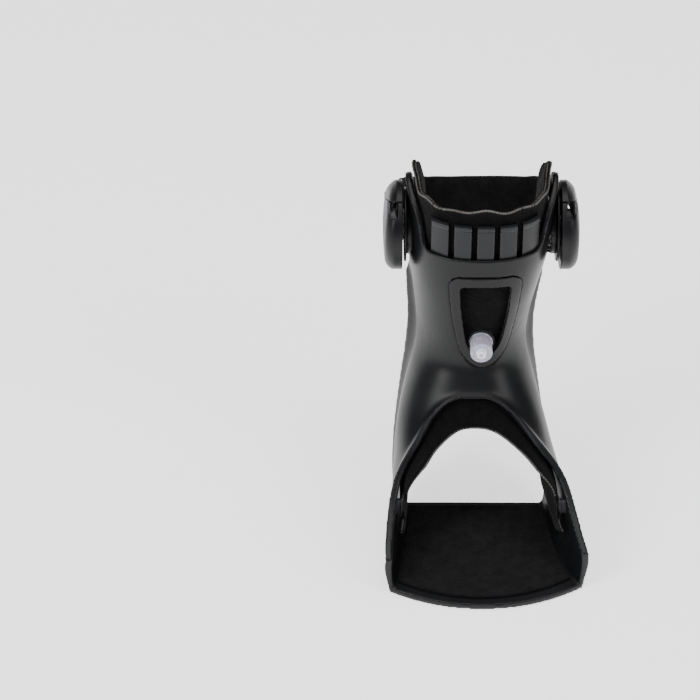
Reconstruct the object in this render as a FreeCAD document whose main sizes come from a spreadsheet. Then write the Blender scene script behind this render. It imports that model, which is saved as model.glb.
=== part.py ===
import FreeCAD, Part
import Sketcher
import math
import os

from FreeCAD import Placement, Rotation, Vector

# Ankle foot orthosis for a left foot, of the anterior kind: one moulded shell runs from the
# shin over the instep, down both sides of the foot and under the ball of the foot.
#
# Frame: millimetres, +Z up, toes along -Y, the wearer's outer side is +X. The origin is in the
# middle of the sole plate's underside, and the leg's axis stands leg_back behind it.

doc = FreeCAD.newDocument("AnkleFootOrthosis")
sheet = doc.addObject("Spreadsheet::Sheet", "Sizes")

SIZES = [
    ("leg_back", 88.0, "origin, in the middle of the sole plate, to the leg's axis"),
    # shell
    ("wall", 3.0, "moulded wall of the shell"),
    ("ear_top", 180.0, "height of the ears' tops"),
    ("collar_top", 154.0, "height of the shell's front edge between the ears"),
    ("finger_top", 173.0, "height of the collar fingers' tips"),
    ("section_top", 196.0, "height of the highest shaping section, above the ears"),
    ("crown_half", 41.5, "half width at the highest section"),
    ("ear_half", 37.2, "half width at the ears' roots"),
    ("shin_half", 34.6, "half width below the ears"),
    ("waist_half", 31.2, "half width at the waist"),
    ("ankle_half", 33.4, "half width in front of the ankle"),
    ("wing_half", 39.6, "half width where the sides flare"),
    ("arm_half", 43.4, "half width at the side arms"),
    ("midfoot_half", 46.0, "half width at the midfoot"),
    ("ball_half", 50.6, "half width at the ball of the foot"),
    ("toe_half", 49.0, "half width at the last shaping section"),
    ("shin_depth", 43.0, "leg axis to the shell's front, at the shin"),
    ("calf_depth", 42.0, "leg axis to the back of the calf"),
    ("bend_forward", 80.0, "leg axis to the centre of the instep's bend"),
    ("bend_height", 100.0, "height of the centre of the instep's bend"),
    ("bend_radius", 38.0, "radius of the instep's bend on the outer face"),
    ("sole_front", 131.0, "leg axis to the front edge of the sole plate"),
    ("sole_rear", 45.0, "leg axis to the rear edge of the sole plate"),
    ("arch_height", 75.0, "height of the instep opening's top, on the outer face"),
    ("ball_rim", 16.0, "height of the arms' rim beside the ball of the foot"),
    # collar
    ("finger_count", 5, "fingers of the collar"),
    ("finger_width", 8.7, "width of one finger"),
    ("finger_pitch", 11.5, "spacing of the fingers"),
    ("collar_root", 140.0, "height of the collar's lower edge, behind the shell"),
    ("collar_step", 1.5, "depth of the collar's face behind the shell's face"),
    ("collar_wall", 2.0, "wall of the collar"),
    ("finger_lip", 2.4, "height of the lip on each finger's tip"),
    # window
    ("window_top", 138.0, "height of the window's top edge"),
    ("window_base", 94.0, "height of the window's lowest point"),
    ("window_half", 13.2, "half width of the window at its top"),
    ("window_shift", 1.5, "shift of the window to the outer side"),
    ("bezel_band", 5.3, "width of the bezel's band"),
    ("bezel_depth", 1.5, "depth of the bezel's seat in the shell"),
    ("bezel_proud", 0.4, "height of the bezel above the shell"),
    # soft layers
    ("layer_gap", 0.3, "clearance between stacked layers"),
    ("bladder_low", 91.0, "height of the air bladder's lower edge"),
    ("bladder_high", 150.0, "height of the air bladder's upper edge"),
    ("fabric", 1.4, "thickness of a liner fabric layer"),
    ("bladder", 2.0, "thickness of the air bladder, let down"),
    ("liner_rise", 7.0, "height of the liner above the collar fingers"),
    ("liner_reveal", 9.0, "width of liner showing past the instep opening"),
    ("sole_pad_thickness", 2.0, "thickness of the sole pad"),
    ("clip_forward", 82.0, "leg axis to the liner clips"),
    ("clip_height", 29.0, "height of the liner clips"),
    ("clip_length", 8.0, "length of the liner clips' bars"),
    ("clip_thickness", 2.4, "thickness of the liner clips' bars"),
    # valve
    ("valve_height", 101.5, "height of the valve's axis"),
    ("valve_radius", 5.7, "outer radius of the valve body"),
    ("valve_reach", 48.5, "leg axis to the valve body's tip"),
    ("plunger_radius", 2.9, "radius of the valve plunger"),
    ("flange_radius", 7.2, "radius of the valve's rubber flange"),
    ("flange_thickness", 1.4, "thickness of the valve's rubber flange"),
    ("plunger_travel", 1.5, "travel of the valve plunger"),
    ("spring_wire", 0.5, "wire diameter of the valve spring"),
    ("spring_coils", 4, "coils of the valve spring"),
    # hubs at the ears
    ("hub_forward", 5.0, "leg axis to the hub's axis"),
    ("hub_height", 152.0, "height of the hub's axis"),
    ("hub_face", 38.4, "leg axis to the flat pad on the ear"),
    ("hub_pad_radius", 15.0, "radius of the flat pad on the ear"),
    ("plate_radius", 19.0, "radius of the fixed hub plate"),
    ("plate_thickness", 1.2, "thickness of the fixed hub plate"),
    ("washer_radius", 8.0, "radius of the nylon washer"),
    ("washer_thickness", 0.8, "thickness of the nylon washer"),
    ("rivet_radius", 3.0, "radius of the hub rivet's shank"),
    ("rivet_head_radius", 4.6, "radius of the hub rivet's heads"),
    ("rivet_head", 1.4, "thickness of the hub rivet's heads"),
    ("running_fit", 0.05, "radial clearance of a turning fit"),
    ("face_gap", 0.1, "gap between faces that slide past each other"),
    ("loose_gap", 0.4, "gap round pieces that move freely"),
    ("buckle_radius", 23.0, "radius of the round buckle"),
    ("buckle_depth", 10.0, "depth of the round buckle"),
    ("buckle_round", 5.0, "rounding of the buckle's outer edge"),
    ("strap_tilt", 25.0, "downward tilt of the strap towards the calf, in degrees"),
    ("channel_offset", 9.5, "hub axis to the middle of the tongue channel"),
    ("tongue_width", 7.4, "width of the strap tongue"),
    ("tongue_thickness", 1.6, "thickness of the strap tongue"),
    ("channel_floor", 3.0, "buckle's inner face to the channel's inner face"),
    ("tongue_station", 6.4, "buckle's inner face to the tongue's inner face"),
    ("tongue_nose", 19.0, "hub axis to the tongue's tip"),
    ("tongue_tail", 40.0, "hub axis to the tongue's tail"),
    ("tooth_pitch", 2.4, "pitch of the tongue's teeth"),
    ("tooth_count", 9, "teeth on each tongue"),
    ("lever_chord", 13.8, "hub axis to the release lever's flat underside"),
    ("lever_pin_radius", 0.9, "radius of the release lever's pin"),
    ("lever_pin_back", 13.5, "hub axis to the lever pin, along the strap"),
    ("lever_pin_up", 16.6, "hub axis to the lever pin, across the strap"),
    ("lever_knuckle", 2.2, "radius of the lever's knuckle"),
    ("cheek", 2.6, "thickness of the cheeks that hold the lever pin"),
    ("spring_leaf", 0.5, "thickness of the lever's leaf spring"),
    # calf strap
    ("strap_width", 24.0, "width of the calf strap"),
    ("strap_thickness", 2.2, "thickness of the calf strap"),
    ("strap_front", 31.0, "hub axis to the strap's front end"),
    ("strap_drop", 2.0, "hub axis to the strap's middle line, across the strap"),
    ("strap_corner", 24.0, "radius of the strap's inner corner"),
    ("strap_back", 65.0, "hub axis to the strap's inner face, at the back"),
    ("pad_thickness", 6.0, "thickness of the calf pad"),
    ("pad_width", 34.0, "width of the calf pad"),
    ("strap_rivet_radius", 1.6, "radius of the tongue rivets"),
]
for row, (alias, value, note) in enumerate(SIZES, start=1):
    sheet.set(f"A{row}", note)
    sheet.set(f"B{row}", str(value))
    sheet.setAlias(f"B{row}", alias)
doc.recompute()


def size(alias):
    """The sheet's value under this alias."""
    return float(sheet.get(alias))


def forward(distance, height, side=0.0):
    """A point given by its distance ahead of the leg's axis and its height."""
    return Vector(side, size("leg_back") - distance, height)


# Depths of the layers under the shell's outer face.
WALL = size("wall")
GAP = size("layer_gap")
WALL_GAP = 0.5  # least room between the shell's wall and the liner, beyond the layer gap
COLLAR_BACK = size("collar_step") + size("collar_wall")
FACE_OUT = max(COLLAR_BACK, WALL + WALL_GAP) + GAP
FACE_IN = FACE_OUT + size("fabric")
BLADDER_OUT = FACE_IN + GAP
BLADDER_IN = BLADDER_OUT + size("bladder")
BACK_OUT = BLADDER_IN + GAP
BACK_IN = BACK_OUT + size("fabric")

# ---------------------------------------------------------------- shaping sections
# Closed sections down the leg, fanned round the instep's bend and out along the foot.
# Each has a centre, an in-plane direction towards the wearer's front (or the top of the
# foot), a half width, a side shift, a reach to the front and to the rear, and the powers
# of the superellipse on its front and rear halves.

BEND = forward(size("bend_forward"), size("bend_height"))
SOLE_UNDERCUT = 9.0  # the sections dip this far below the floor, so the sole is cut flat


def leg_section(height, half, side, depth, power=2.1):
    return {
        "centre": forward(0, height), "lift": Vector(0, -1, 0), "half": half, "side": side,
        "front": depth, "rear": size("calf_depth"), "powers": (power, power),
    }


def bend_section(angle, middle, reach, half, side, powers):
    """A section in the plane that leaves the bend's centre at this angle below the level."""
    turn = math.radians(angle)
    rearward = Vector(0, math.cos(turn), -math.sin(turn))
    return {
        "centre": BEND + rearward * middle, "lift": rearward * -1, "half": half, "side": side,
        "front": middle - size("bend_radius"), "rear": reach - middle, "powers": powers,
    }


def foot_section(distance, middle, top, half, side, powers):
    return {
        "centre": forward(distance, middle), "lift": Vector(0, 0, 1), "half": half,
        "side": side, "front": top - middle, "rear": middle + SOLE_UNDERCUT, "powers": powers,
    }


def sole_reach(angle):
    """Distance from the bend's centre down to the sole, along a plane at this angle."""
    return (size("bend_height") + SOLE_UNDERCUT) / math.sin(math.radians(angle))


SECTIONS = [
    leg_section(size("section_top"), size("crown_half"), 0.0, size("shin_depth") + 0.5, 2.5),
    leg_section(size("section_top") - 16, size("crown_half") - 2.2, 0.0,
                size("shin_depth") + 0.2, 2.5),
    leg_section(size("hub_height") + 12, size("ear_half") + 0.4, 0.0, size("shin_depth"), 2.5),
    leg_section(size("hub_height") - 6, size("ear_half") - 0.6, -0.8, size("shin_depth"), 2.5),
    leg_section(130.0, size("shin_half"), -2.0, size("shin_depth"), 2.35),
    leg_section(115.0, size("waist_half") + 1.3, -3.2, size("shin_depth") - 0.5, 2.2),
    leg_section(size("bend_height"), size("waist_half"), -4.0,
                size("bend_forward") - size("bend_radius")),
    bend_section(25.0, 75.0, 130.0, size("ankle_half"), -4.3, (2.2, 2.4)),
    bend_section(50.0, 70.0, 128.0, size("wing_half"), -3.5, (2.2, 3.0)),
    bend_section(72.0, 72.0, sole_reach(72.0), size("arm_half"), -1.5, (2.3, 3.6)),
    foot_section(size("bend_forward"), 28.0, 62.0, size("midfoot_half"), 0.0, (2.4, 4.0)),
    foot_section(size("sole_front") - 21, 20.0, 48.0, size("ball_half"), 2.3, (2.4, 4.0)),
    foot_section(size("sole_front") + 14, 18.0, 42.0, size("toe_half"), 3.0, (2.4, 4.0)),
]
SECTION_POINTS = 24


def section_wire(section, inset):
    """The closed curve of one section, drawn in by the inset all round."""
    points = []
    for step in range(SECTION_POINTS):
        angle = 2 * math.pi * step / SECTION_POINTS - math.pi / 2
        across, along = math.cos(angle), math.sin(angle)
        power = section["powers"][0] if along > 0 else section["powers"][1]
        reach = section["front"] if along > 0 else section["rear"]
        side = math.copysign(abs(across) ** (2 / power), across) * (section["half"] - inset)
        lift = math.copysign(abs(along) ** (2 / power), along) * (reach - inset)
        point = section["centre"] + section["lift"] * lift
        points.append(point + Vector(section["side"] + side, 0, 0))
    curve = Part.BSplineCurve()
    curve.interpolate(Points=points, PeriodicFlag=True)
    return Part.Wire(curve.toShape())


CORES = {}


def core(inset):
    """The solid inside the shell's outer face, drawn in by the inset."""
    if inset not in CORES:
        wires = [section_wire(section, inset) for section in SECTIONS]
        CORES[inset] = Part.makeLoft(wires, True, False)
    return CORES[inset]


def skin(outer_inset, inner_inset, limit):
    """The part of the skin between two insets that lies inside the limiting solid."""
    return core(outer_inset).common(limit).cut(core(inner_inset))


# ---------------------------------------------------------------- side outlines
HALF_SPAN = 90.0  # half the length of solids that are wider than the whole orthosis


def side_solid(edges):
    """A closed outline in the side view, run through the whole width."""
    face = Part.Face(Part.Wire(Part.__sortEdges__(edges)))
    face.translate(Vector(-HALF_SPAN, 0, 0))
    return face.extrude(Vector(2 * HALF_SPAN, 0, 0))


def spline(points):
    curve = Part.BSplineCurve()
    curve.interpolate(points)
    return curve.toShape()


def polyline(points):
    return [Part.LineSegment(a, b).toShape() for a, b in zip(points, points[1:])]


def side_box(near, far, low, high, half=HALF_SPAN, side=0.0):
    """A box given by its distances ahead of the leg's axis, its heights and its half width."""
    corner = forward(far, low, side - half)
    return Part.makeBox(2 * half, far - near, high - low, corner)


CLEAR_AHEAD = size("sole_front") + 40.0
BELOW_FLOOR = -8.0


def rear_edge(inset):
    """The shell's rear edge in the side view, from the sole up to the ear, drawn in."""
    sole_rear = size("sole_rear")
    return [
        forward(sole_rear + inset, 0),
        forward(sole_rear - 4 + inset, 7),
        forward(sole_rear - 16 + inset, 19),
        forward(sole_rear - 31 + inset, 38),
        forward(7 + inset, 62),
        forward(6 + inset, size("bend_height") - 10),
        forward(1 + inset, 125),
        forward(-7 + inset, size("hub_height")),
        forward(-10 + inset, size("ear_top") - 13),
    ]


# The top of the instep opening's rim: turn past the opening's top, in degrees, and the depth
# that the rim has sunk under the outer face by then. Past these the rim runs along the arms.
RIM_TOP = [(0.0, 0.0), (4.5, 1.5), (10.0, 3.0), (17.0, 4.8), (25.0, 7.0), (33.0, 9.8)]


def arch_edge(reveal, depth):
    """The rim of the instep opening in the side view, from its top out past the toes.

    The rim is moved down the instep by the reveal, and starts this deep in the shell.
    """
    radius, low = size("bend_radius"), size("ball_rim") - reveal
    start = math.asin((size("bend_height") - size("arch_height")) / radius) + reveal / radius
    points = []
    for turn, sunk in RIM_TOP:
        angle = start + math.radians(turn)
        out = radius + depth + sunk
        points.append(BEND + Vector(0, math.cos(angle) * out, -math.sin(angle) * out))
    arms = [(size("bend_forward") + 3.6, low + 21), (size("sole_front") - 29, low + 10.2),
            (size("sole_front") - 10, low + 3), (size("sole_front") + 14, low - 4)]
    return points + [forward(ahead, height) for ahead, height in arms]


def shell_outline():
    """The shell's side view: ear, collar edge, instep opening, sole and rear edge."""
    rear = rear_edge(0)
    ear_top = size("ear_top")
    ear = [rear[-1], forward(-4, ear_top - 2), forward(4, ear_top), forward(13, ear_top - 2.5),
           forward(21, ear_top - 6.5), forward(26, ear_top - 12.5),
           forward(28.5, size("collar_top") + 5.5), forward(31.5, size("collar_top") + 0.8),
           forward(36, size("collar_top"))]
    arch = arch_edge(0, 0)
    ahead = [ear[-1], forward(CLEAR_AHEAD, size("collar_top")),
             forward(CLEAR_AHEAD, size("bend_height")), BEND, arch[0]]
    below = [arch[-1], Vector(0, arch[-1].y, 0), rear[0]]
    return [spline(rear), spline(ear), spline(arch)] + polyline(ahead) + polyline(below)


def plan_limit(inset):
    """Everything behind the sole plate's rounded front edge, drawn in by the inset."""
    front = size("sole_front") - inset
    corner = front - 27
    half = size("ball_half") + 12 - inset
    arc = Part.Arc(forward(corner, 0, -half), forward(front, 0, 2), forward(corner, 0, half))
    back = [forward(corner, 0, half), forward(-HALF_SPAN, 0, half),
            forward(-HALF_SPAN, 0, -half), forward(corner, 0, -half)]
    face = Part.Face(Part.Wire(Part.__sortEdges__([arc.toShape()] + polyline(back))))
    face.translate(Vector(0, 0, BELOW_FLOOR))
    return face.extrude(Vector(0, 0, 2 * size("section_top")))


def liner_outline(inset, low):
    """The liner's side view: up past the collar, down past the arch, along the arms."""
    rear = rear_edge(inset)[3:]
    top = size("finger_top") + size("liner_rise")
    crest = [rear[-1], forward(-4, top + 5), forward(2, top + 6.5), forward(10, top + 1.5),
             forward(20, top - 0.5), forward(34, top), forward(60, top)]
    arch = arch_edge(size("liner_reveal"), FACE_OUT)[:len(RIM_TOP) + 1]
    arch.append(forward(size("bend_forward") + 16, low + 2))
    ahead = [crest[-1], forward(60, size("bend_height")), BEND, arch[0]]
    below = [arch[-1], forward(86, low - 5), forward(50, low - 3), rear[0]]
    return [spline(rear), spline(crest), spline(arch)] + polyline(ahead) + polyline(below)


WINDOW_CORNER = 3.0  # radius of the window's upper corners
WINDOW_REACH = 22.0  # how far behind the shin's front the window's prism starts


def window_prism(grow):
    """The window's outline in the front view, widened by grow, run through the shell."""
    half, top = size("window_half") + grow, size("window_top") + grow
    base = size("window_base") - grow
    middle = size("window_shift")
    corner = WINDOW_CORNER + grow * 0.5
    drop = top - base
    start = size("shin_depth") - WINDOW_REACH

    def point(across, height):
        return forward(start, height, middle + across)

    side = [(half, top - corner), (half * 0.91, top - drop * 0.42),
            (half * 0.78, top - drop * 0.66), (half * 0.52, top - drop * 0.9), (0, base)]
    right = [point(across, height) for across, height in side]
    left = [point(-across, height) for across, height in reversed(side[:-1])]
    bevel = corner * (1 - math.sqrt(0.5))
    arcs = [
        Part.Arc(point(turn * half, top - corner), point(turn * (half - bevel), top - bevel),
                 point(turn * (half - corner), top)).toShape() for turn in (1, -1)
    ]
    edges = [spline(right + left)] + arcs
    edges += polyline([point(half - corner, top), point(corner - half, top)])
    face = Part.Face(Part.Wire(Part.__sortEdges__(edges)))
    return face.extrude(Vector(0, -3 * WINDOW_REACH, 0))


# ---------------------------------------------------------------- sub-parts
NODES = []


def keep(obj, label):
    """Names the object as a sub-part that is written out."""
    obj.Label = label
    NODES.append(obj)
    return obj


def solid(label, shape):
    """A sub-part whose shape is set by this script."""
    obj = doc.addObject("Part::Feature", label)
    obj.Shape = shape
    obj.Placement = Placement()
    return keep(obj, label)


HUB = forward(size("hub_forward"), size("hub_height"))
COLLAR_HALF = size("finger_pitch") * (size("finger_count") - 1) / 2 + size("finger_width") / 2
COLLAR_SHIFT = 1.0  # shift of the collar to the outer side
LIP_PROUD = 0.8  # how far each finger's lip stands out of its face
CLIP_PLATE = 0.8  # thickness of the liner clips' end plates
PAD_SIDE_GAP = 1.5  # clearance between the sole pad and the shell's sides
RIVET_SEAT = 2.4  # depth of shell wall left under the hub pad for the inner rivet head
HEAD_GAP = 0.2  # clearance under the inner rivet head


def across_rod(radius, start, length, centre):
    """A cylinder whose axis runs along +X."""
    return Part.makeCylinder(radius, length, Vector(start, centre.y, centre.z), Vector(1, 0, 0))


def clip_bar(turn, grow):
    """The bar of a liner clip, grown by this much, from the middle out past one arm."""
    half, length = size("clip_thickness") / 2 + grow, size("clip_length") / 2 + grow
    middle, height = size("clip_forward"), size("clip_height")
    return side_box(middle - half, middle + half, height - length, height + length,
                    HALF_SPAN / 2, turn * HALF_SPAN / 2)


def make_clip(turn):
    """A liner clip: a bar through the arm and the liner, with a plate at each end."""
    bar = skin(-CLIP_PLATE, FACE_IN + CLIP_PLATE, clip_bar(turn, 0))
    outer = skin(-CLIP_PLATE, 0, clip_bar(turn, 1.0))
    inner = skin(FACE_IN + 0.05, FACE_IN + CLIP_PLATE, clip_bar(turn, 1.4))
    return bar.multiFuse([outer, inner])


def make_shell():
    limit = side_solid(shell_outline()).common(plan_limit(0))
    blank = core(0).common(limit)
    for turn in (1, -1):
        start = min(turn * size("hub_face"), turn * (size("ear_half") - WALL))
        length = size("hub_face") - size("ear_half") + WALL
        blank = blank.fuse(across_rod(size("hub_pad_radius"), start, length, HUB))
    above_sole = side_box(-HALF_SPAN, CLEAR_AHEAD, WALL, 2 * size("section_top"))
    shell = blank.cut(core(WALL).common(above_sole))
    collar_box = side_box(10, 70, size("collar_root") - GAP, size("section_top"),
                          COLLAR_HALF + GAP, COLLAR_SHIFT)
    shell = shell.cut(core(size("collar_step")).common(collar_box))
    seat = window_prism(size("bezel_band") + size("face_gap"))
    shell = shell.cut(seat.cut(core(size("bezel_depth"))))
    shell = shell.cut(window_prism(0))
    bore = size("rivet_radius") + size("running_fit")
    recess = size("rivet_head_radius") + GAP
    reach = size("hub_face") - RIVET_SEAT
    shell = shell.cut(across_rod(bore, -HALF_SPAN, 2 * HALF_SPAN, HUB))
    shell = shell.cut(across_rod(recess, -reach, 2 * reach, HUB))
    for turn in (1, -1):
        shell = shell.cut(clip_bar(turn, 0.1))
    return shell


def make_collar():
    """A band behind the shell's edge, slit into fingers, each with a lip along its tip."""
    lip_base = size("finger_top") - size("finger_lip")
    root_top = size("collar_top") - 2
    band = side_box(10, 70, size("collar_root"), size("finger_top"), COLLAR_HALF, COLLAR_SHIFT)
    collar = skin(size("collar_step") - LIP_PROUD, COLLAR_BACK, band)
    below_lip = side_box(0, 80, size("collar_root") - 5, lip_base, COLLAR_HALF + 5,
                         COLLAR_SHIFT)
    collar = collar.cut(below_lip.cut(core(size("collar_step"))))
    half = (size("finger_pitch") - size("finger_width")) / 2
    for number in range(int(size("finger_count")) - 1):
        place = (number + 1 - size("finger_count") / 2) * size("finger_pitch") + COLLAR_SHIFT
        collar = collar.cut(side_box(0, 80, root_top, size("finger_top") + 5, half, place))
    return collar


def make_liner_face():
    outline = side_solid(liner_outline(2.0, 20.0))
    face = skin(FACE_OUT, FACE_IN, outline)
    hole = size("flange_radius") + GAP
    valve = Part.makeCylinder(hole, 60, forward(20, size("valve_height")), Vector(0, -1, 0))
    face = face.cut(valve)
    for turn in (1, -1):
        face = face.cut(clip_bar(turn, GAP))
    return face


solid("shell", make_shell())
solid("finger_collar", make_collar())
bezel_ring = window_prism(size("bezel_band")).cut(window_prism(0))
solid("window_bezel", skin(-size("bezel_proud"), size("bezel_depth"), bezel_ring))
solid("liner_face", make_liner_face())
solid("liner_clip_lateral", make_clip(1))
solid("liner_clip_medial", make_clip(-1))
bladder_box = side_box(22, 70, size("bladder_low"), size("bladder_high"))
solid("air_bladder", skin(BLADDER_OUT, BLADDER_IN, bladder_box))
back_limit = side_solid(liner_outline(4.0, 20.0)).common(side_box(-60, 80, 84, 200))
solid("liner_back", skin(BACK_OUT, BACK_IN, back_limit))
pad_limit = side_box(size("sole_rear") + 5, size("sole_front"), WALL,
                     WALL + size("sole_pad_thickness")).common(plan_limit(5))
solid("sole_pad", core(WALL + PAD_SIDE_GAP).common(pad_limit))


# ---------------------------------------------------------------- valve
AHEAD = Vector(0, -1, 0)
VALVE_BASE = size("bend_forward") - size("bend_radius") - BLADDER_OUT + 2 * GAP
VALVE_STEP = VALVE_BASE + size("flange_thickness")
BORE_START = VALVE_STEP + 1.0


def bound(kind, name, sizes, placement):
    """A Part primitive whose sizes are bound to the sheet."""
    obj = doc.addObject(kind, name)
    for prop, expression in sizes.items():
        obj.setExpression(prop, expression)
    obj.Placement = placement
    return obj


def valve_rod(name, radius, length, start):
    place = Placement(forward(start, size("valve_height")), Rotation(Vector(1, 0, 0), 90))
    return bound("Part::Cylinder", name, {"Radius": radius, "Height": str(length)}, place)


def cut(name, base, *tools):
    """The base with every tool taken away from it."""
    for number, tool in enumerate(tools):
        step = doc.addObject("Part::Cut", f"{name}_cut{number}")
        step.Base, step.Tool = base, tool
        base = step
    return base


def fuse(name, *pieces):
    joined = doc.addObject("Part::MultiFuse", name)
    joined.Shapes = list(pieces)
    return joined


def common(name, *pieces):
    shared = doc.addObject("Part::MultiCommon", name)
    shared.Shapes = list(pieces)
    return shared


def make_valve():
    """Rubber flange on the bladder, clear tube, seat, spring and push-in plunger."""
    tip = size("valve_reach")
    air_way = "Sizes.plunger_radius * 0.4"
    bore = "Sizes.plunger_radius + Sizes.running_fit"
    flange = valve_rod("flange_disc", "Sizes.flange_radius", size("flange_thickness"),
                       VALVE_BASE)
    keep(cut("flange", flange, valve_rod("flange_way", air_way, 20, VALVE_BASE - 5)),
         "valve_flange")
    foot = valve_rod("body_foot", "Sizes.valve_radius + 0.4", 0.5, VALVE_STEP)
    tube = valve_rod("body_tube", "Sizes.valve_radius", tip - VALVE_STEP, VALVE_STEP)
    keep(cut("body", fuse("body_blank", foot, tube),
             valve_rod("body_way", air_way, 20, VALVE_STEP - 5),
             valve_rod("body_bore", bore, 20, BORE_START)), "valve_body")
    seat = valve_rod("seat_disc", "Sizes.plunger_radius - 0.1", 0.8, BORE_START)
    keep(cut("seat", seat, valve_rod("seat_way", air_way, 20, BORE_START - 5)), "valve_seat")
    spring_start = BORE_START + 0.9
    spring_room = size("spring_coils") * size("spring_wire") * 1.2
    wire = size("spring_wire") / 2
    coils = [
        Part.makeTorus(size("plunger_radius") - 0.6, wire,
                       forward(spring_start + wire + turn * spring_room / size("spring_coils"),
                               size("valve_height")), AHEAD)
        for turn in range(int(size("spring_coils")))
    ]
    solid("valve_spring", Part.makeCompound(coils))
    stop = spring_start + spring_room + size("plunger_travel") + 0.3
    shank = valve_rod("plunger_shank", "Sizes.plunger_radius", tip - stop, stop)
    nose = valve_rod("plunger_nose", "Sizes.plunger_radius * 0.8", 2.0, tip)
    dimple = valve_rod("plunger_dimple", "Sizes.plunger_radius * 0.4", 5, tip + 1.0)
    keep(cut("plunger", fuse("plunger_blank", shank, nose), dimple), "valve_plunger")


make_valve()

# ---------------------------------------------------------------- hubs, buckles and strap
# The lateral side is built, and its mirror image is the medial side. Along the hub's axis
# come the ear's pad, the fixed plate, the washer and then the buckle that turns with the
# strap. STRAP_FRAME has its Y along the strap towards the calf and its Z across the strap.
PLATE_OUT = size("hub_face") + size("plate_thickness")
WASHER_OUT = PLATE_OUT + size("washer_thickness")
BUCKLE_IN = WASHER_OUT + size("face_gap")
BUCKLE_OUT = BUCKLE_IN + size("buckle_depth")
TONGUE_IN = BUCKLE_IN + size("tongue_station")
HUB_RECESS = 3.0
STRAP_FRAME = Placement(HUB, Rotation(Vector(1, 0, 0), -size("strap_tilt")))
SIDEWAYS = Rotation(Vector(0, 1, 0), 90)


def both_sides(obj, label):
    """Keeps the lateral piece and its mirror image on the medial side."""
    keep(obj, label + "_lateral")
    twin = doc.addObject("Part::Mirroring", label + "_medial")
    twin.Source = obj
    twin.Normal = Vector(1, 0, 0)
    keep(twin, label + "_medial")


def hub_rod(name, radius, length, start, along=0.0, across=0.0):
    """A cylinder along +X, placed in the strap's frame."""
    place = STRAP_FRAME * Placement(Vector(start, along, across), SIDEWAYS)
    return bound("Part::Cylinder", name, {"Radius": radius, "Height": str(length)}, place)


def hub_block(name, start, stop, back, ahead, low, high):
    """A box in the strap's frame: along X, then towards the front, then across the strap."""
    box = doc.addObject("Part::Box", name)
    box.Length, box.Width, box.Height = stop - start, back + ahead, high - low
    box.Placement = STRAP_FRAME * Placement(Vector(start, -ahead, low), Rotation())
    return box


def origin_plane(body, role):
    return next(item for item in body.Origin.OriginFeatures if item.Role == role)


def new_body(name, placement):
    body = doc.addObject("PartDesign::Body", name)
    body.Placement = placement
    return body


def new_sketch(body, name):
    sketch = body.newObject("Sketcher::SketchObject", name)
    sketch.AttachmentSupport = [(origin_plane(body, "XY_Plane"), "")]
    sketch.MapMode = "FlatFace"
    return sketch


def add_circle(sketch, radius, centre=Vector()):
    """A circle whose radius follows the sheet."""
    index = sketch.addGeometry(Part.Circle(centre, Vector(0, 0, 1), 1.0), False)
    rule = sketch.addConstraint(Sketcher.Constraint("Radius", index, 1.0))
    sketch.renameConstraint(rule, f"radius{index}")
    sketch.setExpression(f"Constraints.radius{index}", radius)
    return index


def pad(body, sketch, length, name, midplane=False):
    feature = body.newObject("PartDesign::Pad", name)
    feature.Profile = sketch
    feature.setExpression("Length", length)
    feature.Midplane = midplane
    return feature


def make_plate():
    """A round plate fixed to the ear, with the rivet's hole through its middle."""
    place = Placement(Vector(size("hub_face"), HUB.y, HUB.z), SIDEWAYS)
    body = new_body("PlateBody", place)
    sketch = new_sketch(body, "PlateSketch")
    add_circle(sketch, "Sizes.plate_radius")
    add_circle(sketch, "Sizes.rivet_radius + Sizes.running_fit")
    pad(body, sketch, "Sizes.plate_thickness", "PlatePad")
    both_sides(body, "hub_plate")


def make_blank():
    """The round buckle before it is split: a disc with a rounded outer edge."""
    place = Placement(Vector(BUCKLE_IN, HUB.y, HUB.z), SIDEWAYS)
    body = new_body("BuckleBody", place)
    sketch = new_sketch(body, "BuckleSketch")
    add_circle(sketch, "Sizes.buckle_radius")
    disc = pad(body, sketch, "Sizes.buckle_depth", "BucklePad")
    doc.recompute()
    rim = [f"Edge{number}" for number, edge in enumerate(disc.Shape.Edges, start=1)
           if abs(edge.BoundBox.ZMin - size("buckle_depth")) < 1e-6
           and abs(edge.BoundBox.ZMax - size("buckle_depth")) < 1e-6]
    rounding = body.newObject("PartDesign::Fillet", "BuckleRound")
    rounding.Base = (disc, rim)
    rounding.setExpression("Radius", "Sizes.buckle_round")
    body.Tip = rounding
    doc.recompute()
    return body


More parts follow.
